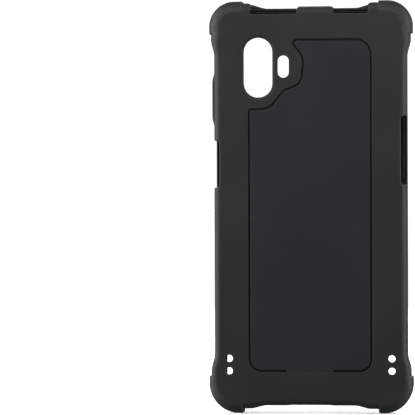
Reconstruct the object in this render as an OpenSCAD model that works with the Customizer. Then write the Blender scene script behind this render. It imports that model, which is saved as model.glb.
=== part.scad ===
// Rugged hybrid case for a 6.6-inch smartphone.
// Upright: +Z along the length, +X to the right seen from the screen side,
// -Y towards the screen side, +Y towards the back. Millimetres.
// Origin: middle of the footprint, at the level of the two lower bumpers.

/* [Phone pocket] */
// Width of the phone
phone_w = 79.9; // [79:0.1:81]
// Height of the phone
phone_h = 168.8; // [167:0.1:170]
// Depth of the pocket under the lips, the phone's thickness plus a small gap
pocket_t = 10.0; // [9.6:0.1:10.4]
// Gap between the phone and the hard shell, each side
fit_gap = 0.1; // [0.05:0.05:0.2]
// Corner radius of the pocket
pocket_r = 10; // [8:0.5:11]

/* [Walls] */
// Wall of the hard inner shell
shell_t = 0.8; // [0.6:0.1:0.9]
// Soft wall outside the shell, at the sides
sleeve_side = 1.15; // [1:0.05:1.5]
// Soft wall outside the shell, at the ends
sleeve_end = 1.25; // [1:0.05:1.5]
// Soft layer over the back of the shell
sleeve_back = 0.8; // [0.7:0.1:1]
// How far the lips stand proud of the glass
lip_t = 0.8; // [0.6:0.1:1]
// How far the lips reach over the glass at the sides
lip_side = 2.75; // [2:0.05:3]
// How far the lips reach over the glass at the top and bottom
lip_end = 3; // [2:0.1:4]
// Edge radius at the front
edge_front = 1.45; // [1:0.05:1.5]
// Edge radius at the back
edge_back = 3; // [2.6:0.1:3]

/* [Corners] */
// Sideways swell at the four corners
swell_side = 1.5; // [1:0.1:2]
// Upward swell at the top corners
swell_top = 1.95; // [1.5:0.05:2.2]
// Downward swell at the bottom corners
swell_low = 1.4; // [1:0.1:1.6]
// Extra edge radius at the back of the top corners
corner_soft = 1.6; // [0:0.1:2]
// How far the bumpers stand proud at the sides and the top
bumper_t = 1; // [0.8:0.1:1.2]
// How far the lower bumpers stand proud at the bottom
bumper_foot = 2.1; // [1.5:0.1:2.5]

/* [Back] */
// Half width of the inlaid back panel, to the middle of its groove
panel_x = 26.5; // [25:0.5:27]
// Width of the groove round the panel
groove_w = 0.9; // [0.7:0.1:1]
// Depth of the groove
groove_d = 0.45; // [0.3:0.05:0.5]
// Diameter of the strap holes
strap_d = 3; // [2.6:0.1:3.2]
// Distance between the left and right strap holes
strap_dx = 70.8; // [70:0.2:71]
// Distance between the upper and lower strap holes
strap_dz = 5.4; // [5:0.2:6]

/* [Volume flap] */
// Length of the flap
flap_l = 22.4; // [20:0.2:24]
// Width of the flap
flap_w = 3.8; // [3.4:0.1:4]
// How far the flap stands proud of the side wall
flap_proud = 1.1; // [0.8:0.1:1.2]
// Running gap round the flap
flap_gap = 0.3; // [0.3:0.05:0.4]

/* [Hidden] */
$fn = 48;

// Pocket, shell and body outline
pk_x = phone_w / 2 + fit_gap;
sh_x = pk_x + shell_t;
bd_x = sh_x + sleeve_side;
bd_z0 = bumper_foot + swell_low;
pk_z0 = bd_z0 + sleeve_end + shell_t;
pk_z1 = pk_z0 + phone_h + 2 * fit_gap;
bd_z1 = pk_z1 + shell_t + sleeve_end;
thick = lip_t + pocket_t + shell_t + sleeve_back;
y_back = thick / 2;
y_front = -thick / 2;
y_glass = y_front + lip_t;
y_floor = y_glass + pocket_t;
y_shell = y_floor + shell_t;
y_seat = y_glass + 1;          // front edge of the hard shell
y_pad = y_front + 2.4;         // front edge of the bumpers
eps = 0.01;

// Levels of the side features
cam = [22.5, 150.3];           // camera window
cam_w = 12.3; cam_h = 25.8;
lamp = [11.5, 150.7];          // lamp window
lamp_w = 4.8; lamp_h = 9.6;
power_z = [98.3, 118.6];       // side cut-out on the +X side
key_z = [99.5, 129.0];         // side cut-out on the -X side
side_y = -3.9;                 // front end of both side cut-outs
top_a = [5.7, 26.0];           // two cut-outs in the top wall
top_b = [-25.3, -10.2];
port_x = 11;                   // half width of the charging opening
strap_z = 21.3;
flap_z = 136.7;
flap_y0 = y_front + 5.2;       // front edge of the flap
flap_y1 = flap_y0 + flap_w;
slit_w = 2.8;                  // open slit in front of the flap
hinge_x = bd_x - 0.8;

function ss(t) = t * t * (3 - 2 * t);
function arc(c, r, a0, a1, n) = [for (k = [0 : n]) let (a = a0 + (a1 - a0) * k / n) [c[0] + r * cos(a), c[1] + r * sin(a)]];

// Right half of the outline, from the middle of the bottom to the middle of the top
cx = bd_x + swell_side;
rl = 11.5; rt = 10.05;
zl = bd_z0 - swell_low;
zt = bd_z1 + swell_top;
NS = 7;
half = concat(
    [[0, bd_z0], [7, bd_z0], [13, bd_z0]],
    [for (k = [0 : NS]) let (t = k / NS) [19 + 7.5 * t, bd_z0 - swell_low * ss(t)]],
    [[29.5, zl]],
    arc([cx - rl, zl + rl], rl, -90, 0, 10),
    [[cx, 16.4]],
    [for (k = [0 : NS]) let (t = k / NS) [cx - swell_side * ss(t), 18.5 + 7.5 * t]],
    [[bd_x, 58], [bd_x, 90], [bd_x, 122]],
    [for (k = [0 : NS]) let (t = k / NS) [bd_x + swell_side * ss(t), 155.5 + 7.5 * t]],
    [[cx, 165]],
    arc([cx - rt, zt - rt], rt, 0, 90, 10),
    [[29.5, zt]],
    [for (k = [0 : NS]) let (t = k / NS) [28 - 9 * t, zt - swell_top * ss(t)]],
    [[13, bd_z1], [7, bd_z1], [0, bd_z1]]);
nh = len(half);
outline = concat(half, [for (i = [nh - 2 : -1 : 1]) [-half[i][0], half[i][1]]]);
i_low0 = 3 + NS + 1;           // first and last points of the lower bumper
i_low1 = i_low0 + 12;
i_top0 = i_low1 + 1 + NS + 1 + 3 + NS + 1;
i_top1 = i_top0 + 12;

function unit(v) = v / norm(v);
function normal2(P, i) = let (n = len(P), d = unit(P[(i + 1) % n] - P[(i + n - 1) % n])) [d[1], -d[0]];

// Closed solid through stacked loops of points; the ends are fans round a middle point
module skin(G, c) {
    n = len(G[0]); m = len(G);
    polyhedron(points = concat([for (g = G) for (p = g) p], [[c[0], G[0][0][1], c[1]], [c[0], G[m - 1][0][1], c[1]]]), faces = concat(
        [for (j = [0 : m - 2]) for (i = [0 : n - 1]) let (a = j * n + i, b = j * n + (i + 1) % n) [a, b, b + n]],
        [for (j = [0 : m - 2]) for (i = [0 : n - 1]) let (a = j * n + i, b = j * n + (i + 1) % n) [a, b + n, a + n]],
        [for (i = [0 : n - 1]) [m * n, (i + 1) % n, i]],
        [for (i = [0 : n - 1]) [m * n + 1, (m - 1) * n + i, (m - 1) * n + (i + 1) % n]]));
}
module loft(P, L, c) skin([for (l = L) [for (i = [0 : len(P) - 1])
    let (N = normal2(P, i)) [P[i][0] - N[0] * l[1], l[0], P[i][1] - N[1] * l[1]]]], c);

// The body's back edge is rounder at the top corners
function step01(v, v0, v1) = ss(min(1, max(0, (v - v0) / (v1 - v0))));
function back_r(p) = edge_back + corner_soft * step01(p[1], 158, 165) * step01(abs(p[0]), 24, 32);
y_turn = y_back - edge_back - corner_soft - bumper_t; // where the bumpers' own rounding starts
j_pad0 = 4;                    // level of the bumpers' front edge
j_pad1 = 10;                   // last level they reach on the rounded back edge
function level(j, r) = j < 4 ? let (a = 90 - 30 * j) [y_front + edge_front - edge_front * sin(a), edge_front - edge_front * cos(a), -a]
    : j == 4 ? [y_pad, 0, 0] : j == 5 ? [y_turn, 0, 0]
    : let (a = 15 * (j - 6)) [y_back - r + r * sin(a), r - r * cos(a), a];
body_grid = [for (j = [0 : 12]) [for (i = [0 : len(outline) - 1])
    let (p = outline[i], N = normal2(outline, i), l = level(j, back_r(p))) [p[0] - N[0] * l[1], l[0], p[1] - N[1] * l[1]]]];

// Outline of a rounded rectangle, counter-clockwise from the lower right corner
function round_rect(x0, x1, z0, z1, r, n) = concat(
    arc([x1 - r, z0 + r], r, -90, 0, n), arc([x1 - r, z1 - r], r, 0, 90, n),
    arc([x0 + r, z1 - r], r, 90, 180, n), arc([x0 + r, z0 + r], r, 180, 270, n));

// A flat profile in X and Z, extruded from y0 to y1
module slab(y0, y1) translate([0, y1, 0]) rotate([90, 0, 0]) linear_extrude(height = y1 - y0) children();
module pill(c, w, h) polygon(round_rect(c[0] - w / 2, c[0] + w / 2, c[1] - h / 2, c[1] + h / 2, min(w, h) / 2 - 0.01, 12));
module rrect(x0, x1, z0, z1, r) polygon(round_rect(x0, x1, z0, z1, r, 6));

// Corners with a radius: each entry is [x, z, radius]
function fillet(V) = [for (i = [0 : len(V) - 1])
    let (n = len(V), p = [V[i][0], V[i][1]], q = V[(i + n - 1) % n], s = V[(i + 1) % n],
         u = unit([q[0], q[1]] - p), w = unit([s[0], s[1]] - p), r = V[i][2],
         h = acos(u * w) / 2, d = r / tan(h), c = p + unit(u + w) * r / sin(h),
         a = p + u * d, b = p + w * d,
         a0 = atan2(a[1] - c[1], a[0] - c[0]), raw = atan2(b[1] - c[1], b[0] - c[0]) - a0,
         sw = raw > 180 ? raw - 360 : raw < -180 ? raw + 360 : raw,
         m = max(2, ceil(abs(sw) / 15)))
    for (k = [0 : m]) let (t = a0 + sw * k / m) [c[0] + r * cos(t), c[1] + r * sin(t)]];
// The same corners moved inwards by d (the list runs clockwise)
function inset(V, d) = [for (i = [0 : len(V) - 1])
    let (n = len(V), p = [V[i][0], V[i][1]], q = V[(i + n - 1) % n], s = V[(i + 1) % n],
         e0 = unit(p - [q[0], q[1]]), e1 = unit([s[0], s[1]] - p),
         n0 = [e0[1], -e0[0]], n1 = [e1[1], -e1[0]], k = n0 + n1, o = k * d / (1 + n0 * n1),
         turn = e0[0] * e1[1] - e0[1] * e1[0])
    [p[0] + o[0], p[1] + o[1], turn < 0 ? max(0.25, V[i][2] - d) : V[i][2] + d]];

// Middle of the groove round the back panel, with its step round the camera and the lamp
panel_path = [
    [panel_x, 132.2, 1.2], [17.9, 132.2, 7], [11.2, 140.4, 2.2], [3.6, 143.2, 5.5],
    [2.7, 154.6, 6.5], [7.6, 160.9, 1], [5.9, 162.2, 0.7],
    [-panel_x, 162.2, 6.5], [-panel_x, 18.6, 5.2], [panel_x, 18.6, 5.2]];
panel_cw = [for (i = [len(panel_path) - 1 : -1 : 0]) panel_path[i]];
panel_ccw = panel_path;

module panel_outline(d) polygon(fillet(inset(panel_cw, d)));

module through_cuts(grow) {
    // Camera and lamp windows
    slab(2, 8) pill(cam, cam_w + 2 * grow, cam_h + 2 * grow);
    slab(2, 8) pill(lamp, lamp_w + 2 * grow, lamp_h + 2 * grow);
    // Side cut-outs, open at the back edge
    slab(side_y, 8) rrect(39.5 - grow, 50, power_z[0] - grow, power_z[1] + grow, 1.2);
    slab(side_y, 8) rrect(-50, -39.5 + grow, key_z[0] - grow, key_z[1] + grow, 1.2);
    // Cut-outs in the top wall, open at the back edge
    slab(-2.6, 8) rrect(top_a[0] - grow, top_a[1] + grow, bd_z1 - 2.9 - grow, bd_z1 + 6, 0.8);
    slab(-2.6, 8) rrect(top_b[0] - grow, top_b[1] + grow, bd_z1 - 2.9 - grow, bd_z1 + 6, 0.8);
    // Opening for the charging plug and the loudspeaker
    translate([0, 0.4, 0]) linear_extrude(height = 9) polygon(round_rect(-port_x - grow, port_x + grow, -3.6 - grow, 3.6 + grow, 3.2, 8));
    // Opening behind the volume flap, with the slit in front of it
    translate([36, 0, 0]) rotate([90, 0, 90]) linear_extrude(height = 12)
        polygon(round_rect(flap_y0 - slit_w - grow, flap_y1 + flap_gap + grow,
            flap_z - flap_l / 2 - flap_gap - grow, flap_z + flap_l / 2 + flap_gap + grow, 0.9, 6));
}

module strap_holes()
    for (x = [-1, 1], z = [-1, 1])
        translate([x * strap_dx / 2, 8, strap_z + z * strap_dz / 2]) rotate([90, 0, 0]) cylinder(d = strap_d, h = 6);

module shell_outside() loft(round_rect(-sh_x, sh_x, pk_z0 - shell_t, pk_z1 + shell_t, pocket_r + shell_t, 6),
    concat([[y_seat, 0, 0]], [for (k = [0 : 4]) let (a = 22.5 * k) [y_shell - 2.2 + 2.2 * sin(a), 2.2 - 2.2 * cos(a), a]]), [0, 90]);
module pocket() loft(round_rect(-pk_x, pk_x, pk_z0, pk_z1, pocket_r, 6),
    concat([[y_glass, 0, 0]], [for (k = [0 : 3]) let (a = 30 * k) [y_floor - 1.4 + 1.4 * sin(a), 1.4 - 1.4 * cos(a), a]]), [0, 90]);

module outer_sleeve() color([0.20, 0.21, 0.21]) {
    difference() {
        union() {
            skin(body_grid, [0, 90]);
            // Raised land between the two top cut-outs
            slab(-3.2, y_back - edge_back) polygon([[-10.4, bd_z1 - 0.6], [-9.4, bd_z1 + 0.4], [4.9, bd_z1 + 0.4], [5.9, bd_z1 - 0.6]]);
        }
        shell_outside();
        pocket();
        // Window over the screen
        slab(y_front - 1, y_glass + 0.5) rrect(-pk_x + lip_side, pk_x - lip_side, pk_z0 + lip_end, pk_z1 - lip_end, 6.5);
        // Sound slot over the earpiece
        slab(y_front - 1, y_glass + 0.5) rrect(-13, 11, pk_z1 - 1.3, pk_z1 - 0.4, 0.4);
        // Seat of the back panel
        slab(y_shell - 0.2, 8) panel_outline(-groove_w / 2);
        through_cuts(0);
        strap_holes();
    }
}

module inner_shell() color([0.07, 0.07, 0.075]) {
    difference() {
        shell_outside();
        pocket();
        through_cuts(0.5);
        strap_holes();
    }
}

module back_panel() color([0.18, 0.19, 0.195]) {
    difference() {
        union() {
            slab(y_shell, y_back - groove_d) panel_outline(-groove_w / 2);
            slab(y_back - groove_d - 0.1, y_back) panel_outline(groove_w / 2);
            // Bridge that interrupts the groove at the foot of the panel
            slab(y_back - groove_d - 0.1, y_back) polygon([[-9.8, 18.6 - groove_w / 2], [10.2, 18.6 - groove_w / 2], [10.2, 20], [-9.8, 20]]);
        }
    }
}

// A corner bumper: it lies on the sleeve's own surface, from point i0 to point i1 of the outline
// They run out on the back like an edge with a radius that is larger by their thickness
function pad_t(t, a, r) = max(0.09, sqrt(pow(t * sin(a), 2) + r * r + 2 * r * t) - t * sin(a) - r);
module bumper(i0, i1, t0, t1) {
    ni = i1 - i0 + 1; nj = j_pad1 - j_pad0 + 1;
    inner = [for (j = [j_pad0 : j_pad1]) for (i = [i0 : i1]) body_grid[j][i]];
    outer = [for (j = [0 : nj - 1]) for (i = [0 : ni - 1])
        let (N = normal2(outline, i0 + i), r = back_r(outline[i0 + i]), a = level(j_pad0 + j, r)[2], p = inner[j * ni + i],
             full = t0 + (t1 - t0) * ss(i / (ni - 1)), t = j < 2 ? full : pad_t(full, a, r))
        [p[0] + N[0] * cos(a) * t, p[1] + sin(a) * t, p[2] + N[1] * cos(a) * t]];
    q = ni * nj;
    polyhedron(points = concat(inner, outer), faces = concat(
        [for (j = [0 : nj - 2]) for (i = [0 : ni - 2]) let (a = j * ni + i) [a, a + ni + 1, a + 1]],
        [for (j = [0 : nj - 2]) for (i = [0 : ni - 2]) let (a = j * ni + i) [a, a + ni, a + ni + 1]],
        [for (j = [0 : nj - 2]) for (i = [0 : ni - 2]) let (a = q + j * ni + i) [a, a + 1, a + ni + 1]],
        [for (j = [0 : nj - 2]) for (i = [0 : ni - 2]) let (a = q + j * ni + i) [a, a + ni + 1, a + ni]],
        [for (i = [0 : ni - 2]) [i, i + 1, q + i + 1]], [for (i = [0 : ni - 2]) [i, q + i + 1, q + i]],
        [for (i = [0 : ni - 2]) let (a = (nj - 1) * ni + i) [a, q + a, q + a + 1]],
        [for (i = [0 : ni - 2]) let (a = (nj - 1) * ni + i) [a, q + a + 1, a + 1]],
        [for (j = [0 : nj - 2]) let (a = j * ni) [a, q + a, q + a + ni]],
        [for (j = [0 : nj - 2]) let (a = j * ni) [a, q + a + ni, a + ni]],
        [for (j = [0 : nj - 2]) let (a = j * ni + ni - 1) [a, a + ni, q + a + ni]],
        [for (j = [0 : nj - 2]) let (a = j * ni + ni - 1) [a, q + a + ni, q + a]]));
}
module low_bumper() bumper(i_low0, i_low1, bumper_foot, bumper_t);
module top_bumper() bumper(i_top0, i_top1, bumper_t, bumper_t);

// Left and right are as seen from the screen side
module corner_bumper_top_right() color([0.24, 0.25, 0.25]) top_bumper();
module corner_bumper_top_left() color([0.24, 0.25, 0.25]) mirror([1, 0, 0]) top_bumper();
module corner_bumper_bottom_right() color([0.24, 0.25, 0.25]) low_bumper();
module corner_bumper_bottom_left() color([0.24, 0.25, 0.25]) mirror([1, 0, 0]) low_bumper();

// Flap over the volume keys: a convex pad on a thin leaf, with two nibs inside that press the keys
module volume_flap() color([0.26, 0.27, 0.27]) {
    z0 = flap_z - flap_l / 2; z1 = flap_z + flap_l / 2;
    translate([bd_x - 1, 0, 0]) rotate([90, 0, 90]) linear_extrude(height = 1.5)
        polygon(round_rect(flap_y0, flap_y1, z0, z1, 0.8, 6));
    translate([bd_x + 0.4, 0, 0]) rotate([90, 0, 90]) linear_extrude(height = flap_proud - 0.7)
        polygon(round_rect(flap_y0 + 0.3, flap_y1 - 0.3, z0 + 0.5, z1 - 0.5, 0.8, 6));
    translate([bd_x + flap_proud - 0.4, 0, 0]) rotate([90, 0, 90]) linear_extrude(height = 0.4)
        polygon(round_rect(flap_y0 + 0.8, flap_y1 - 0.8, z0 + 2.2, z1 - 2.2, 0.6, 6));
    for (s = [-1, 1])
        translate([bd_x - 1.6, 0, 0]) rotate([90, 0, 90]) linear_extrude(height = 0.7)
            polygon(round_rect(flap_y0 + 0.2, flap_y0 + 2.2, flap_z + s * 5.5 - 2.5, flap_z + s * 5.5 + 2.5, 0.5, 4));
}

outer_sleeve();
inner_shell();
back_panel();
corner_bumper_top_left();
corner_bumper_top_right();
corner_bumper_bottom_left();
corner_bumper_bottom_right();
volume_flap();
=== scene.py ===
import math
import bpy
import numpy as np
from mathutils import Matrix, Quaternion, Vector


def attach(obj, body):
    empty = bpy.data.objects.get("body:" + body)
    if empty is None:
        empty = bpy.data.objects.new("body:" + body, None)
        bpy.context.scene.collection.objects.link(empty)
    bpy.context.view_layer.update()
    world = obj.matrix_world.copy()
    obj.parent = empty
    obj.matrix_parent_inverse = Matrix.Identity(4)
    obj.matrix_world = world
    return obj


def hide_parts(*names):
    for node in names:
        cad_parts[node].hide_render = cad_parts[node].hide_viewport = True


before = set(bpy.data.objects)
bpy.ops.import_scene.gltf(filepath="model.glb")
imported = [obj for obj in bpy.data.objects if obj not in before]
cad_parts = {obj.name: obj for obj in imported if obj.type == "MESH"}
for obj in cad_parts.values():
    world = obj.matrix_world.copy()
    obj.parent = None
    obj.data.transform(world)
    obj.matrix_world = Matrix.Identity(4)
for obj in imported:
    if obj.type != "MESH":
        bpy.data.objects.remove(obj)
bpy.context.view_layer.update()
MM = 0.001

# ---------------------------------------------------------------- sizes, in mm, as in the CAD
PK_X, SH_X, BD_X = 40.05, 40.85, 42.0
BD_Z0, PK_Z0, PK_Z1, BD_Z1 = 3.5, 5.55, 174.55, 176.6
Y_FRONT, Y_BACK, Y_GLASS, Y_SEAT, Y_FLOOR, Y_SHELL, Y_PAD = -6.2, 6.2, -5.4, -4.4, 4.6, 5.4, -3.8
SW_SIDE, SW_TOP, SW_LOW = 1.5, 1.95, 1.4
R_FRONT, R_BACK = 1.45, 3.0
CX, RL, RT = BD_X + SW_SIDE, 11.5, 10.05
ZL, ZT = BD_Z0 - SW_LOW, BD_Z1 + SW_TOP
CAM, CAM_W, CAM_H = (22.5, 150.3), 12.3, 25.8
LAMP, LAMP_W, LAMP_H = (11.5, 150.7), 4.8, 9.6
POWER_Z, KEY_Z, SIDE_Y = (98.3, 118.6), (99.5, 129.0), -3.9
TOP_A, TOP_B = (5.7, 26.0), (-25.3, -10.2)
STRAP_X, STRAP_Z, STRAP_D = 35.4, 21.3, 2.7
FLAP_Z, FLAP_L, FLAP_Y0, FLAP_W = 136.7, 22.4, -1.0, 3.8
FLAP_Y1 = FLAP_Y0 + FLAP_W
GROOVE_W, GROOVE_D = 0.9, 0.45
LIP_X, LIP_SLOPE, LIP_DROP = 37.3, 2.3, 0.45
PANEL_PATH = [
    (26.5, 132.2, 1.2), (17.9, 132.2, 7), (11.2, 140.4, 2.2), (3.6, 143.2, 5.5),
    (2.7, 154.6, 6.5), (7.6, 160.9, 1), (5.9, 162.2, 0.7),
    (-26.5, 162.2, 6.5), (-26.5, 18.6, 5.2), (26.5, 18.6, 5.2)]


# ---------------------------------------------------------------- plane curves
def ss(t):
    t = np.clip(t, 0.0, 1.0)
    return t * t * (3 - 2 * t)


def arc(cx, cz, r, a0, a1, n):
    a = np.radians(np.linspace(a0, a1, n + 1))
    return [(cx + r * math.cos(t), cz + r * math.sin(t)) for t in a]


def half_outline():
    n = 40
    p = [(0.0, BD_Z0), (13.0, BD_Z0)]
    p += [(19 + 7.5 * t, BD_Z0 - SW_LOW * float(ss(t))) for t in np.linspace(0, 1, n)]
    p += [(29.5, ZL)] + arc(CX - RL, ZL + RL, RL, -90, 0, 60) + [(CX, 16.4)]
    p += [(CX - SW_SIDE * float(ss(t)), 18.5 + 7.5 * t) for t in np.linspace(0, 1, n)]
    p += [(BD_X + SW_SIDE * float(ss(t)), 155.5 + 7.5 * t) for t in np.linspace(0, 1, n)]
    p += [(CX, 165.0)] + arc(CX - RT, ZT - RT, RT, 0, 90, 60) + [(29.5, ZT)]
    p += [(28 - 9 * t, ZT - SW_TOP * float(ss(t))) for t in np.linspace(0, 1, n)]
    p += [(13.0, BD_Z1), (0.0, BD_Z1)]
    return np.array(p)


def fillet(verts, deg=4.0):
    """The closed outline with each corner rounded by its radius."""
    out, n = [], len(verts)
    for i, (x, z, r) in enumerate(verts):
        p, q, s = np.array((x, z)), np.array(verts[i - 1][:2]), np.array(verts[(i + 1) % n][:2])
        u, w = (q - p) / np.linalg.norm(q - p), (s - p) / np.linalg.norm(s - p)
        h = math.acos(float(np.clip(u @ w, -1, 1))) / 2
        c = p + (u + w) / np.linalg.norm(u + w) * r / math.sin(h)
        a, b = p + u * r / math.tan(h), p + w * r / math.tan(h)
        a0 = math.atan2(a[1] - c[1], a[0] - c[0])
        raw = math.atan2(b[1] - c[1], b[0] - c[0]) - a0
        sw = raw - 2 * math.pi if raw > math.pi else raw + 2 * math.pi if raw < -math.pi else raw
        m = max(3, int(abs(math.degrees(sw)) / deg))
        out += [(c[0] + r * math.cos(a0 + sw * k / m), c[1] + r * math.sin(a0 + sw * k / m)) for k in range(m + 1)]
    return np.array(out)


class Field2:
    """Signed distance to a closed outline, kept on a grid and read back with smooth cubics."""

    def __init__(self, poly, x0, x1, z0, z1, h):
        self.x0, self.z0, self.h = x0, z0, h
        xs, zs = np.arange(x0, x1 + h, h), np.arange(z0, z1 + h, h)
        gx, gz = np.meshgrid(xs, zs, indexing="ij")
        px, pz = gx.ravel(), gz.ravel()
        best = np.full(px.shape, 1e9)
        inside = np.zeros(px.shape, bool)
        for (ax, az), (bx, bz) in zip(poly, np.roll(poly, -1, 0)):
            ex, ez = bx - ax, bz - az
            ll = ex * ex + ez * ez
            if ll < 1e-12:
                continue
            t = np.clip(((px - ax) * ex + (pz - az) * ez) / ll, 0, 1)
            dx, dz = px - ax - t * ex, pz - az - t * ez
            np.minimum(best, dx * dx + dz * dz, out=best)
            if az != bz:
                cross = (az > pz) != (bz > pz)
                inside ^= cross & (px < ex * (pz - az) / ez + ax)
        d = np.sqrt(best)
        self.g = np.where(inside, -d, d).reshape(gx.shape)

    def __call__(self, x, z):
        x, z = np.broadcast_arrays(x, z)
        shape = x.shape
        u = (x.ravel() - self.x0) / self.h
        v = (z.ravel() - self.z0) / self.h
        n, m = self.g.shape
        u, v = np.clip(u, 1, n - 2.001), np.clip(v, 1, m - 2.001)
        i, j = u.astype(np.int64), v.astype(np.int64)
        a, b = u - i, v - j

        def weights(t):
            return (-0.5 * t + t * t - 0.5 * t ** 3, 1 - 2.5 * t * t + 1.5 * t ** 3,
                    0.5 * t + 2 * t * t - 1.5 * t ** 3, -0.5 * t * t + 0.5 * t ** 3)
        wa, wb = weights(a), weights(b)
        flat, base = self.g.ravel(), i * m + j
        out = 0.0
        for p in range(4):
            row = 0.0
            for q in range(4):
                row = row + wb[q] * flat[base + (p - 1) * m + (q - 1)]
            out = out + wa[p] * row
        return out.reshape(shape)


_right = half_outline()
_closed = np.concatenate([_right, [(-12.0, BD_Z1), (-12.0, BD_Z0)]])
OUT2 = Field2(_closed, -1.0, 47.5, -3.0, 182.5, 0.25)
PAN2 = Field2(fillet(PANEL_PATH), -30.0, 30.0, 15.0, 166.0, 0.25)


# ---------------------------------------------------------------- distance fields
def rmax(a, b, r):
    """Intersection whose edge is rounded with radius r."""
    return np.minimum(np.maximum(a, b), -r) + np.hypot(np.maximum(a + r, 0), np.maximum(b + r, 0))


def rmin(a, b, r):
    return -rmax(-a, -b, r)


def rrect(u, v, u0, u1, v0, v1, r):
    qu = np.abs(u - (u0 + u1) / 2) - (u1 - u0) / 2 + r
    qv = np.abs(v - (v0 + v1) / 2) - (v1 - v0) / 2 + r
    return np.minimum(np.maximum(qu, qv), 0) + np.hypot(np.maximum(qu, 0), np.maximum(qv, 0)) - r


def pill(x, z, c, w, h):
    q = np.maximum(np.abs(z - c[1]) - (h - w) / 2, 0)
    return np.hypot(x - c[0], q) - w / 2


def back_r(x, z):
    """Radius of the back edge, larger at the top corners."""
    return R_BACK + 1.6 * ss((z - 158) / 7) * ss((np.abs(x) - 24) / 8)


def body(x, y, z):
    d = OUT2(np.abs(x), z)
    return np.maximum(rmax(d, Y_FRONT - y, R_FRONT), rmax(d, y - Y_BACK, back_r(x, z)))


def shell_outside(x, y, z):
    d = rrect(x, z, -SH_X, SH_X, PK_Z0 - 0.8, PK_Z1 + 0.8, 10.8)
    return np.maximum(rmax(d, y - Y_SHELL, 2.2), Y_SEAT - y)


def pocket(x, y, z):
    d = rrect(x, z, -PK_X, PK_X, PK_Z0, PK_Z1, 10)
    return np.maximum(rmax(d, y - Y_FLOOR, 1.4), Y_GLASS - y)


def strap(x, z):
    return np.hypot(np.abs(x) - STRAP_X, np.abs(z - STRAP_Z) - STRAP_D) - 1.5


def side_cut(x, y, z, zr, sign, g):
    d = rrect(x * sign, z, 39.5 - g, 60, zr[0] - g, zr[1] + g, 1.2)
    return np.maximum(d, SIDE_Y - y)


def top_cut(x, y, z, xr, g):
    d = rrect(x, z, xr[0] - g, xr[1] + g, BD_Z1 - 2.9 - g, BD_Z1 + 30, 0.8)
    return np.maximum(d, -2.6 - y)


def port_cut(x, y, z, g):
    return np.maximum(rrect(x, y, -11 - g, 11 + g, -3.2 - g, 4.0 + g, 3.2), z - 9)


def flap_window(x, y, z, g):
    d = rrect(y, z, FLAP_Y0 - 2.8 - g, FLAP_Y1 + 0.3 + g, FLAP_Z - FLAP_L / 2 - 0.3 - g, FLAP_Z + FLAP_L / 2 + 0.3 + g, 0.9 + g)
    return np.maximum(d, 36 - x)


def f_sleeve(x, y, z):
    f = body(x, y, z)
    # raised land between the two cut-outs in the top wall
    land = rmax(rmax(np.abs(x + 2.25) - 7.15 + 0.9 * (z - BD_Z1 - 0.4), z - BD_Z1 - 0.4, 0.3), np.abs(y) - 3.2, 0.5)
    land = np.maximum(land, BD_Z1 - 1.0 - z)
    f = rmin(f, land, 0.35)
    # soft dish round the camera window, then the windows themselves
    dc = pill(x, z, CAM, CAM_W, CAM_H)
    dish = np.maximum(0, 1 - dc / 1.7)
    f = np.maximum(f, (y - Y_BACK + 0.5 * dish ** 2) * 0.9)
    f = rmax(f, -np.maximum(dc, 2 - y), 0.18)
    f = rmax(f, -np.maximum(pill(x, z, LAMP, LAMP_W, LAMP_H), 2 - y), 0.3)
    # window over the screen, with lips that slope down to their rounded inner edge
    da = rrect(x, z, -LIP_X, LIP_X, PK_Z0 + 3, PK_Z1 - 3, 6.5)
    db = rrect(x, z, -LIP_X - LIP_SLOPE, LIP_X + LIP_SLOPE, PK_Z0 + 2.3, PK_Z1 - 2.3, 7.2)
    t = np.clip(da, -1, 6) / np.maximum(da - db, 0.3)
    f = rmax(f, (Y_FRONT + LIP_DROP * (1 - t) - y) * 0.9, 0.22)
    f = rmax(f, -np.maximum(da, y + 5.0), 0.22)
    f = np.maximum(f, -pocket(x, y, z))
    f = np.maximum(f, -shell_outside(x, y, z))
    f = rmax(f, -np.maximum(rrect(x, z, -13, 11, PK_Z1 - 1.3, PK_Z1 - 0.4, 0.4), y + 4.9), 0.12)
    # seat of the back panel: its rim is the outer edge of the groove
    f = rmax(f, -np.maximum(PAN2(x, z) - GROOVE_W / 2, 5.2 - y), 0.2)
    f = rmax(f, -side_cut(x, y, z, POWER_Z, 1, 0), 0.6)
    f = rmax(f, -side_cut(x, y, z, KEY_Z, -1, 0), 0.6)
    f = rmax(f, -top_cut(x, y, z, TOP_A, 0), 0.5)
    f = rmax(f, -top_cut(x, y, z, TOP_B, 0), 0.5)
    f = rmax(f, -port_cut(x, y, z, 0), 0.5)
    f = rmax(f, -flap_window(x, y, z, 0), 0.35)
    return rmax(f, -np.maximum(strap(x, z), 2 - y), 0.45)


def f_shell(x, y, z):
    f = rmax(shell_outside(x, y, z), -pocket(x, y, z), 0.12)
    g = 0.5
    f = rmax(f, -np.maximum(pill(x, z, CAM, CAM_W + 2 * g, CAM_H + 2 * g), 2 - y), 0.15)
    f = rmax(f, -np.maximum(pill(x, z, LAMP, LAMP_W + 2 * g, LAMP_H + 2 * g), 2 - y), 0.15)
    f = rmax(f, -side_cut(x, y, z, POWER_Z, 1, g), 0.15)
    f = rmax(f, -side_cut(x, y, z, KEY_Z, -1, g), 0.15)
    f = rmax(f, -top_cut(x, y, z, TOP_A, g), 0.15)
    f = rmax(f, -top_cut(x, y, z, TOP_B, g), 0.15)
    f = rmax(f, -port_cut(x, y, z, g), 0.15)
    f = rmax(f, -flap_window(x, y, z, g), 0.15)
    return rmax(f, -np.maximum(strap(x, z), 2 - y), 0.15)


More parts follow.
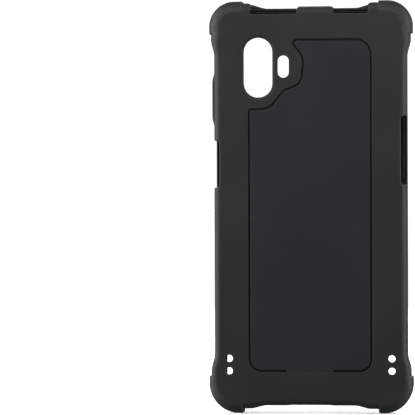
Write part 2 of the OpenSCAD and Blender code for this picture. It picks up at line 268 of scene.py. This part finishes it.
def f_panel(x, y, z):
    d = PAN2(x, z)
    flange = np.maximum(np.maximum(d - GROOVE_W / 2, y - (Y_BACK - GROOVE_D)), Y_SHELL - y)
    top = np.maximum(rmax(d + GROOVE_W / 2, y - Y_BACK, 0.2), Y_SHELL - y)
    bridge = rmax(rrect(x, z, -9.8, 10.2, 18.6 - GROOVE_W / 2, 20.5, 0.3), y - Y_BACK, 0.12)
    bridge = np.maximum(bridge, Y_SHELL - y)
    return np.minimum(rmin(flange, top, 0.12), bridge)


def bumper(x, y, z, t, ends):
    """A pad lying on the sleeve's skin, t thick at the sides, that runs out smoothly on the back face."""
    d = OUT2(np.abs(x), z)
    r = back_r(x, z)
    skin = np.maximum(rmax(d, Y_FRONT - y, R_FRONT), rmax(d, y - Y_BACK, r))
    pad = rmax(d - t, y - Y_BACK, r + t)
    f = np.maximum(pad, -(skin + 0.25))
    f = np.maximum(f, -(d + r - 0.35))
    f = rmax(f, Y_PAD - y, 0.45)
    return rmax(f, ends, 0.8)


def f_low(sign):
    def f(x, y, z):
        ax = x * sign
        ang = np.degrees(np.arctan2(ax - (CX - RL), -(z - (ZL + RL))))
        ang = np.where(z > ZL + RL, 90.0 + 4.0 * (z - ZL - RL), np.where(ax < CX - RL, -3.6 * (CX - RL - ax), ang))
        t = 2.1 - 1.1 * ss((1 + ang / 9.0) / 12.0)
        ends = np.maximum(29.5 - ax, z - 16.4)
        return bumper(x, y, z, t, ends)
    return f


def f_top(sign):
    def f(x, y, z):
        ax = x * sign
        return bumper(x, y, z, 1.0, np.maximum(29.5 - ax, 165.0 - z))
    return f


def f_flap(x, y, z):
    z0, z1 = FLAP_Z - FLAP_L / 2, FLAP_Z + FLAP_L / 2
    d = rrect(y, z, FLAP_Y0, FLAP_Y1, z0, z1, 0.8)
    yc = (FLAP_Y0 + FLAP_Y1) / 2
    top = BD_X + 1.1 - 0.62 * ss((np.abs(z - FLAP_Z) - 7.6) / 3.4) - 0.22 * np.abs((y - yc) / (FLAP_W / 2)) ** 2.5
    f = rmax(d, x - top, 0.6)
    f = rmax(f, BD_X - 1 - x, 0.1)
    for s in (-1, 1):
        zc = FLAP_Z + s * 5.5
        nib = rrect(y, z, FLAP_Y0 + 0.2, FLAP_Y0 + 2.2, zc - 2.5, zc + 2.5, 0.5)
        nib = np.maximum(rmax(nib, BD_X - 1.6 - x, 0.3), x - BD_X + 0.5)
        f = rmin(f, nib, 0.15)
    return f


# ---------------------------------------------------------------- polygons from a field
def nets(F, axes):
    """Naive surface nets: one vertex in each cell that the surface crosses."""
    inside = F < 0
    cells = np.array(F.shape) - 1
    cell_ids, points, quads = [], [], []
    for a in range(3):
        b, c = (a + 1) % 3, (a + 2) % 3
        s0, s1 = [slice(None)] * 3, [slice(None)] * 3
        s0[a], s1[a] = slice(0, -1), slice(1, None)
        I = np.argwhere(inside[tuple(s0)] != inside[tuple(s1)])
        ok = (I[:, b] > 0) & (I[:, b] < F.shape[b] - 1) & (I[:, c] > 0) & (I[:, c] < F.shape[c] - 1)
        I = I[ok]
        J = I.copy()
        J[:, a] += 1
        f0, f1 = F[tuple(I.T)], F[tuple(J.T)]
        t = f0 / (f0 - f1)
        P = np.stack([axes[m][I[:, m]] for m in range(3)], 1)
        P[:, a] += t * (axes[a][J[:, a]] - axes[a][I[:, a]])
        four = []
        for ob, oc in ((-1, -1), (0, -1), (0, 0), (-1, 0)):
            C = I.copy()
            C[:, b] += ob
            C[:, c] += oc
            four.append(np.ravel_multi_index(C.T, cells))
            cell_ids.append(four[-1])
            points.append(P)
        q = np.stack(four, 1)
        quads.append(np.where((f0 < 0)[:, None], q, q[:, ::-1]))
    ids, P = np.concatenate(cell_ids), np.concatenate(points)
    uniq, inv = np.unique(ids, return_inverse=True)
    n = len(uniq)
    count = np.bincount(inv, minlength=n)
    V = np.stack([np.bincount(inv, weights=P[:, m], minlength=n) / count for m in range(3)], 1)
    Q = np.searchsorted(uniq, np.concatenate(quads))
    return V, Q


def grad(f, P, e):
    g = np.empty_like(P)
    for m in range(3):
        hi, lo = P.copy(), P.copy()
        hi[:, m] += e
        lo[:, m] -= e
        g[:, m] = (f(hi[:, 0], hi[:, 1], hi[:, 2]) - f(lo[:, 0], lo[:, 1], lo[:, 2])) / (2 * e)
    return g


def settle(f, P, limit, steps=3):
    """Moves the points onto the exact surface."""
    start = P.copy()
    for _ in range(steps):
        g = grad(f, P, 0.03)
        v = f(P[:, 0], P[:, 1], P[:, 2])
        P = P - g * (v / np.maximum((g * g).sum(1), 0.25))[:, None] * 0.9
        move = P - start
        far = np.linalg.norm(move, axis=1)
        P = start + move * np.minimum(1, limit / np.maximum(far, 1e-9))[:, None]
    return P


def mesh_from(name, V, Q):
    me = bpy.data.meshes.new(name)
    me.vertices.add(len(V))
    me.vertices.foreach_set("co", (V * MM).astype(np.float32).ravel())
    k = Q.shape[1]
    me.loops.add(len(Q) * k)
    me.loops.foreach_set("vertex_index", Q.astype(np.int32).ravel())
    me.polygons.add(len(Q))
    me.polygons.foreach_set("loop_start", (np.arange(len(Q)) * k).astype(np.int32))
    me.update(calc_edges=True)
    me.validate()
    return me


def grid_axis(lo, hi, h):
    n = int(math.ceil((hi - lo) / h)) + 1
    return lo + np.arange(n) * h


def sculpt(name, f, lo, hi, h, faces, part, node, mat):
    """Builds one piece from its field and puts it in its CAD node's place."""
    h = h * 1.0
    axes = [grid_axis(lo[m] - 1.5 * h, hi[m] + 1.5 * h, h) + 0.013 * (m + 1) for m in range(3)]
    F = f(axes[0][:, None, None], axes[1][None, :, None], axes[2][None, None, :])
    F = np.broadcast_to(F, tuple(len(a) for a in axes))
    V, Q = nets(F, axes)
    V = settle(f, V, 0.9 * h)
    me = mesh_from(name, V, Q)
    ob = bpy.data.objects.new(name, me)
    bpy.context.scene.collection.objects.link(ob)
    tris = 2 * len(Q)
    if tris > faces:
        mod = ob.modifiers.new("lighten", "DECIMATE")
        mod.ratio = faces / tris
        mod.use_collapse_triangulate = True
        dg = bpy.context.evaluated_depsgraph_get()
        dg.update()
        new = bpy.data.meshes.new_from_object(ob.evaluated_get(dg), depsgraph=dg)
        ob.modifiers.clear()
        ob.data = new
        me = new
        co = np.empty(len(me.vertices) * 3, np.float32)
        me.vertices.foreach_get("co", co)
        P = settle(f, co.reshape(-1, 3).astype(float) / MM, 0.35 * h, 2)
        me.vertices.foreach_set("co", (P * MM).astype(np.float32).ravel())
        me.update()
    shade(me, f)
    me.materials.clear()
    me.materials.append(mat)
    me.name = name
    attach(ob, part)
    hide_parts(node)
    return ob


def shade(me, f):
    """Corner normals taken from the field just inside each face's corner, so that crisp edges stay crisp."""
    n = len(me.vertices)
    co = np.empty(n * 3, np.float32)
    me.vertices.foreach_get("co", co)
    co = co.reshape(-1, 3).astype(float) / MM
    loops = np.empty(len(me.loops), np.int32)
    me.loops.foreach_get("vertex_index", loops)
    starts = np.empty(len(me.polygons), np.int32)
    totals = np.empty(len(me.polygons), np.int32)
    me.polygons.foreach_get("loop_start", starts)
    me.polygons.foreach_get("loop_total", totals)
    face = np.repeat(np.arange(len(starts)), totals)
    cent = np.zeros((len(starts), 3))
    for m in range(3):
        cent[:, m] = np.bincount(face, weights=co[loops][:, m], minlength=len(starts)) / totals
    P = co[loops]
    d = cent[face] - P
    L = np.linalg.norm(d, axis=1)
    P = P + d * (np.minimum(0.10, 0.45 * L) / np.maximum(L, 1e-9))[:, None]
    g = grad(f, P, 0.05)
    size = np.linalg.norm(g, axis=1)
    bad = size < 0.2
    nrm = np.empty(len(me.polygons) * 3, np.float32)
    me.polygons.foreach_get("normal", nrm)
    fn = nrm.reshape(-1, 3)[face]
    g = g / np.maximum(size, 1e-9)[:, None]
    bad |= (g * fn).sum(1) < 0.3
    g[bad] = fn[bad]
    me.polygons.foreach_set("use_smooth", np.ones(len(me.polygons), bool))
    me.normals_split_custom_set(g.astype(np.float32).tolist())


# ---------------------------------------------------------------- materials
class Nodes:
    def __init__(self, name):
        self.mat = bpy.data.materials.new(name)
        self.mat.use_nodes = True
        self.t = self.mat.node_tree
        self.t.nodes.clear()
        self.out = self.t.nodes.new("ShaderNodeOutputMaterial")
        self.bsdf = self.t.nodes.new("ShaderNodeBsdfPrincipled")
        self.t.links.new(self.bsdf.outputs["BSDF"], self.out.inputs["Surface"])
        self.coord = self.t.nodes.new("ShaderNodeTexCoord").outputs["Object"]

    def link(self, a, b):
        self.t.links.new(a, b)

    def noise(self, scale, detail=2.0, rough=0.5, vec=None, dist=0.0):
        n = self.t.nodes.new("ShaderNodeTexNoise")
        n.inputs["Scale"].default_value = scale
        n.inputs["Detail"].default_value = detail
        n.inputs["Roughness"].default_value = rough
        n.inputs["Distortion"].default_value = dist
        self.link(vec or self.coord, n.inputs["Vector"])
        return n.outputs["Fac"]

    def voronoi(self, scale, feature="F1"):
        n = self.t.nodes.new("ShaderNodeTexVoronoi")
        n.feature = feature
        n.inputs["Scale"].default_value = scale
        self.link(self.coord, n.inputs["Vector"])
        return n.outputs["Distance"]

    def math(self, op, a, b=None, c=None, clamp=False):
        n = self.t.nodes.new("ShaderNodeMath")
        n.operation = op
        n.use_clamp = clamp
        for i, v in enumerate((a, b, c)):
            if v is None:
                continue
            if isinstance(v, (int, float)):
                n.inputs[i].default_value = v
            else:
                self.link(v, n.inputs[i])
        return n.outputs[0]

    def ramp(self, fac, lo, hi, out_lo=0.0, out_hi=1.0, smooth=True):
        n = self.t.nodes.new("ShaderNodeMapRange")
        n.interpolation_type = "SMOOTHSTEP" if smooth else "LINEAR"
        n.inputs["From Min"].default_value = lo
        n.inputs["From Max"].default_value = hi
        n.inputs["To Min"].default_value = out_lo
        n.inputs["To Max"].default_value = out_hi
        self.link(fac, n.inputs["Value"])
        return n.outputs["Result"]

    def mix(self, fac, a, b):
        n = self.t.nodes.new("ShaderNodeMix")
        n.data_type = "RGBA"
        if isinstance(fac, (int, float)):
            n.inputs[0].default_value = fac
        else:
            self.link(fac, n.inputs[0])
        for v, sock in ((a, n.inputs[6]), (b, n.inputs[7])):
            if isinstance(v, tuple):
                sock.default_value = (*v, 1.0)
            else:
                self.link(v, sock)
        return n.outputs[2]

    def axis(self, which):
        n = self.t.nodes.new("ShaderNodeSeparateXYZ")
        self.link(self.coord, n.inputs[0])
        return n.outputs[which]

    def bump(self, height, strength, distance, normal=None):
        n = self.t.nodes.new("ShaderNodeBump")
        n.inputs["Strength"].default_value = strength
        n.inputs["Distance"].default_value = distance
        self.link(height, n.inputs["Height"])
        if normal is not None:
            self.link(normal, n.inputs["Normal"])
        return n.outputs["Normal"]


def moulded(name, base, rough, grain=1.0, spec=0.5, parting=False, lighter=0.12, warm=0.0, groove=False, wear_and_highlight=(0.56, 0.5, 1.5)):
    """Matte moulded rubber or plastic: fine spark-eroded grain, faint mottling, edges lightened as rubbed wear and as a
    painted highlight, and optional painted shade in the groove, the parting crease and on the lips' slope.
    """
    m = Nodes(name)
    big = m.noise(28.0, 3.0, 0.55)
    mid = m.noise(240.0, 3.0, 0.6)
    fine = m.noise(3800.0, 2.0, 0.6)
    pits = m.voronoi(5200.0)
    dark = tuple(c * 0.90 for c in base)
    light = tuple(c * (1.0 + lighter) for c in base)
    col = m.mix(m.ramp(big, 0.3, 0.7), dark, light)
    tint = (base[0] * (1.05 + warm), base[1] * 1.02, base[2] * (0.98 - warm))
    col = m.mix(m.ramp(mid, 0.35, 0.7, 0.0, 0.35), col, tint)
    geo = m.t.nodes.new("ShaderNodeNewGeometry")
    # painted highlight, partly real rubbing: convex edges are lightened by their pointiness
    edge = m.ramp(geo.outputs["Pointiness"], 0.505, wear_and_highlight[0], 0.0, wear_and_highlight[1])
    col = m.mix(edge, col, tuple(min(1.0, c * wear_and_highlight[2]) for c in base))
    if groove:
        # painted shade: the floor of the groove is coloured nearly black where shade would fall in it
        col = m.mix(m.ramp(m.axis(1), 0.00585, 0.0061), tuple(c * 0.12 for c in base), col)
    r = m.math("ADD", m.ramp(big, 0.3, 0.7, rough - 0.03, rough + 0.03), m.ramp(fine, 0.3, 0.7, -0.04, 0.04))
    if parting:
        # a hairline where the two halves of the mould met, on the long side walls: bumped in, and darkened as painted
        # shade in its crease
        x, y, z = m.axis(0), m.axis(1), m.axis(2)
        line = m.ramp(m.math("ABSOLUTE", m.math("ADD", y, 0.0006)), 0.00012, 0.00034, 1.0, 0.0)
        zz = m.math("MULTIPLY", m.ramp(z, 0.026, 0.034), m.ramp(z, 0.118, 0.126, 1.0, 0.0))
        line = m.math("MULTIPLY", m.math("MULTIPLY", line, zz), m.ramp(m.math("ABSOLUTE", x), 0.0405, 0.0412))
        col = m.mix(m.math("MULTIPLY", line, 0.6), col, tuple(c * 0.45 for c in base))
        # the lips' inner slope comes from a polished part of the mould: glossier, and darkened as painted shade
        lip = m.math("MULTIPLY", m.ramp(m.math("ABSOLUTE", x), 0.0393, 0.0397, 1.0, 0.0), m.ramp(y, -0.0056, -0.0053, 1.0, 0.0))
        lip = m.math("MULTIPLY", lip, m.math("MULTIPLY", m.ramp(z, 0.0078, 0.0082), m.ramp(z, 0.1719, 0.1723, 1.0, 0.0)))
        col = m.mix(m.math("MULTIPLY", lip, 0.55), col, tuple(c * 0.35 for c in base))
        r = m.math("SUBTRACT", r, m.math("MULTIPLY", lip, 0.26))
    m.link(col, m.bsdf.inputs["Base Color"])
    m.link(r, m.bsdf.inputs["Roughness"])
    m.bsdf.inputs["Specular IOR Level"].default_value = spec
    h = m.math("ADD", m.math("MULTIPLY", fine, 0.7), m.math("MULTIPLY", pits, 0.5))
    nrm = m.bump(h, 0.35 * grain, 0.00006)
    nrm = m.bump(mid, 0.10, 0.00012, nrm)
    if parting:
        nrm = m.bump(m.math("MULTIPLY", line, -1.0), 0.9, 0.00016, nrm)
    m.link(nrm, m.bsdf.inputs["Normal"])
    return m.mat


def glossy(name, base, rough):
    m = Nodes(name)
    big = m.noise(35.0, 2.0)
    fine = m.noise(1500.0, 2.0)
    col = m.mix(m.ramp(big, 0.3, 0.7), tuple(c * 0.85 for c in base), tuple(c * 1.25 for c in base))
    m.link(col, m.bsdf.inputs["Base Color"])
    scuff = m.noise(90.0, 5.0, 0.7, dist=1.5)
    m.link(m.math("ADD", m.ramp(scuff, 0.45, 0.75, rough, rough + 0.14), m.ramp(fine, 0.3, 0.7, 0.0, 0.04)),
           m.bsdf.inputs["Roughness"])
    m.bsdf.inputs["Specular IOR Level"].default_value = 0.38
    m.link(m.bump(m.noise(60.0, 1.0), 0.08, 0.0004), m.bsdf.inputs["Normal"])
    return m.mat


TPU = moulded("sleeve_rubber", (0.0282, 0.0308, 0.0312), 0.62, 1.0, 0.42, parting=True)
# the bumpers get a stronger painted highlight along their edges
PAD = moulded("bumper_rubber", (0.0290, 0.0312, 0.0318), 0.58, 1.0, 0.42, wear_and_highlight=(0.545, 0.8, 2.2))
KEY = moulded("flap_rubber", (0.0300, 0.0315, 0.0320), 0.56, 1.0, 0.42)
INLAY = moulded("inlay_plastic", (0.0232, 0.0282, 0.0298), 0.60, 0.8, 0.40, lighter=0.06, groove=True)
HARD = glossy("shell_plastic", (0.0090, 0.0094, 0.0098), 0.30)

# ---------------------------------------------------------------- the pieces
sculpt("sleeve_skin", f_sleeve, (-43.6, -6.3, 2.0), (43.6, 6.3, 178.7), 0.36, 170000,
       "case", "outer_sleeve", TPU)
sculpt("shell_tray", f_shell, (-41.0, -4.5, 4.7), (41.0, 5.5, 175.5), 0.42, 90000,
       "case", "inner_shell", HARD)
sculpt("panel_inlay", f_panel, (-27.2, 5.3, 17.9), (27.2, 6.3, 162.9), 0.30, 60000,
       "case", "back_panel", INLAY)
for side, sign in (("left", -1), ("right", 1)):
    xs = sorted((29.0 * sign, 45.0 * sign))
    sculpt("bumper_low_" + side, f_low(sign), (xs[0], -4.0, -0.2), (xs[1], 6.3, 16.8), 0.28, 24000,
           "case", "corner_bumper_bottom_" + side, PAD)
    sculpt("bumper_high_" + side, f_top(sign), (xs[0], -4.0, 164.5), (xs[1], 6.3, 179.8), 0.28, 24000,
           "case", "corner_bumper_top_" + side, PAD)
sculpt("flap_pad", f_flap, (40.2, -1.2, 125.2), (43.3, 3.0, 148.2), 0.20, 30000,
       "flap", "volume_flap", KEY)


# ---------------------------------------------------------------- floor and backdrop
def camera_only(ob):
    ob.visible_diffuse = False
    ob.visible_glossy = False
    ob.visible_transmission = False
    ob.visible_shadow = False


def paper(name, near, far, r0, r1):
    """Pale paper that grows whiter with the distance from the object's foot, by painted light: its emission lifts the
    contact shadow near the foot and glows white farther out.
    """
    m = Nodes(name)
    n1 = m.noise(3.0, 2.0)
    m.link(m.mix(m.ramp(n1, 0.3, 0.7), (0.88, 0.88, 0.88), (0.91, 0.91, 0.91)), m.bsdf.inputs["Base Color"])
    m.bsdf.inputs["Roughness"].default_value = 0.9
    m.bsdf.inputs["Specular IOR Level"].default_value = 0.1
    m.bsdf.inputs["Emission Color"].default_value = (1, 1, 1, 1)
    r = m.math("SQRT", m.math("ADD", m.math("POWER", m.axis(0), 2.0), m.math("POWER", m.axis(1), 2.0)))
    # painted light: emission washes out the shade near the foot and rises to a white glow away from it
    m.link(m.ramp(r, r0, r1, near, far), m.bsdf.inputs["Emission Strength"])
    return m.mat


def backdrop():
    """A pale round floor in a white dome, alike from every side."""
    n, floor_r = 64, 3.6
    rings = [0.05, 0.12, 0.3, 0.8, 1.8, floor_r]
    verts, faces = [(0.0, 0.0, 0.0)], []
    for r in rings:
        verts += [(r * math.cos(2 * math.pi * i / n), r * math.sin(2 * math.pi * i / n), 0.0) for i in range(n)]
    for i in range(n):
        faces.append((0, 1 + i, 1 + (i + 1) % n))
        for k in range(len(rings) - 1):
            a, b = 1 + k * n + i, 1 + k * n + (i + 1) % n
            faces.append((a, a + n, b + n, b))
    me = bpy.data.meshes.new("floor")
    me.from_pydata(verts, [], faces)
    floor = bpy.data.objects.new("floor", me)
    bpy.context.scene.collection.objects.link(floor)
    me.materials.append(paper("floor_paper", 0.45, 1.0, 0.03, 0.15))
    camera_only(floor)
    verts, faces, rows = [], [], 24
    for k in range(rows + 1):
        a = math.pi / 2 * k / rows
        verts += [(4.0 * math.cos(a) * math.cos(2 * math.pi * i / n), 4.0 * math.cos(a) * math.sin(2 * math.pi * i / n),
                   4.0 * math.sin(a) - 0.05) for i in range(n)]
    for k in range(rows):
        for i in range(n):
            j = (i + 1) % n
            faces.append((k * n + i, (k + 1) * n + i, (k + 1) * n + j, k * n + j))
    me = bpy.data.meshes.new("dome")
    me.from_pydata(verts, [], faces)
    for p in me.polygons:
        p.use_smooth = True
    dome = bpy.data.objects.new("dome", me)
    bpy.context.scene.collection.objects.link(dome)
    me.materials.append(paper("dome_paper", 1.0, 1.0, 0.1, 0.2))
    camera_only(dome)


backdrop()


# ---------------------------------------------------------------- light
def area(name, loc, target, size, power, color=(1, 1, 1)):
    data = bpy.data.lights.new(name, "AREA")
    data.shape = "RECTANGLE"
    data.size, data.size_y = size
    data.energy = power
    data.color = color
    ob = bpy.data.objects.new(name, data)
    ob.location = loc
    d = Vector(target) - Vector(loc)
    ob.rotation_mode = "QUATERNION"
    ob.rotation_quaternion = d.to_track_quat("-Z", "Y")
    bpy.context.scene.collection.objects.link(ob)
    return ob


MID = (0.0, 0.0, 0.09)
area("side_left", (0.62, 0.10, 0.16), MID, (0.30, 0.9), 5.4)
area("side_right", (-0.62, 0.10, 0.16), MID, (0.30, 0.9), 4.0)
area("front_back", (0.03, 0.30, 0.45), (0, 0, 0.17), (0.45, 0.25), 0.76)
area("front_front", (0.12, -1.0, 0.45), MID, (0.9, 0.6), 9.0)

world = bpy.data.worlds.new("studio")
bpy.context.scene.world = world
world.use_nodes = True
bg = world.node_tree.nodes.get("Background") or world.node_tree.nodes.new("ShaderNodeBackground")
bg.inputs["Color"].default_value = (1, 1, 1, 1)
bg.inputs["Strength"].default_value = 0.12
bpy.context.scene.view_settings.view_transform = "Standard"
bpy.context.scene.view_settings.look = "None"

# ---------------------------------------------------------------- camera
AZ, EL, DIST = math.radians(185.0), math.radians(0.0), 1.10
SCALE = 0.4358 * MM                      # metres a pixel at the object's middle
PX_X, PX_Y = 311.15, 207.1                # where the middle of the case stands in the frame
aim = Vector((0.0, 0.0, 0.0897))
back = Vector((math.sin(AZ) * math.cos(EL), -math.cos(AZ) * math.cos(EL), math.sin(EL)))
cam = bpy.data.cameras.new("camera")
cam.sensor_width = 36.0
width = SCALE * 415
cam.lens = 36.0 * DIST / width
cam.clip_start, cam.clip_end = 0.05, 20.0
co = bpy.data.objects.new("camera", cam)
co.location = aim + back * DIST
co.rotation_mode = "QUATERNION"
q = (-back).to_track_quat("-Z", "Y")
roll = math.radians(-0.15)
co.rotation_quaternion = q @ Quaternion((0, 0, 1), roll)
cam.shift_x = -(PX_X - 207.5) / 415
cam.shift_y = (PX_Y - 207.5) / 415
bpy.context.scene.collection.objects.link(co)
bpy.context.scene.camera = co
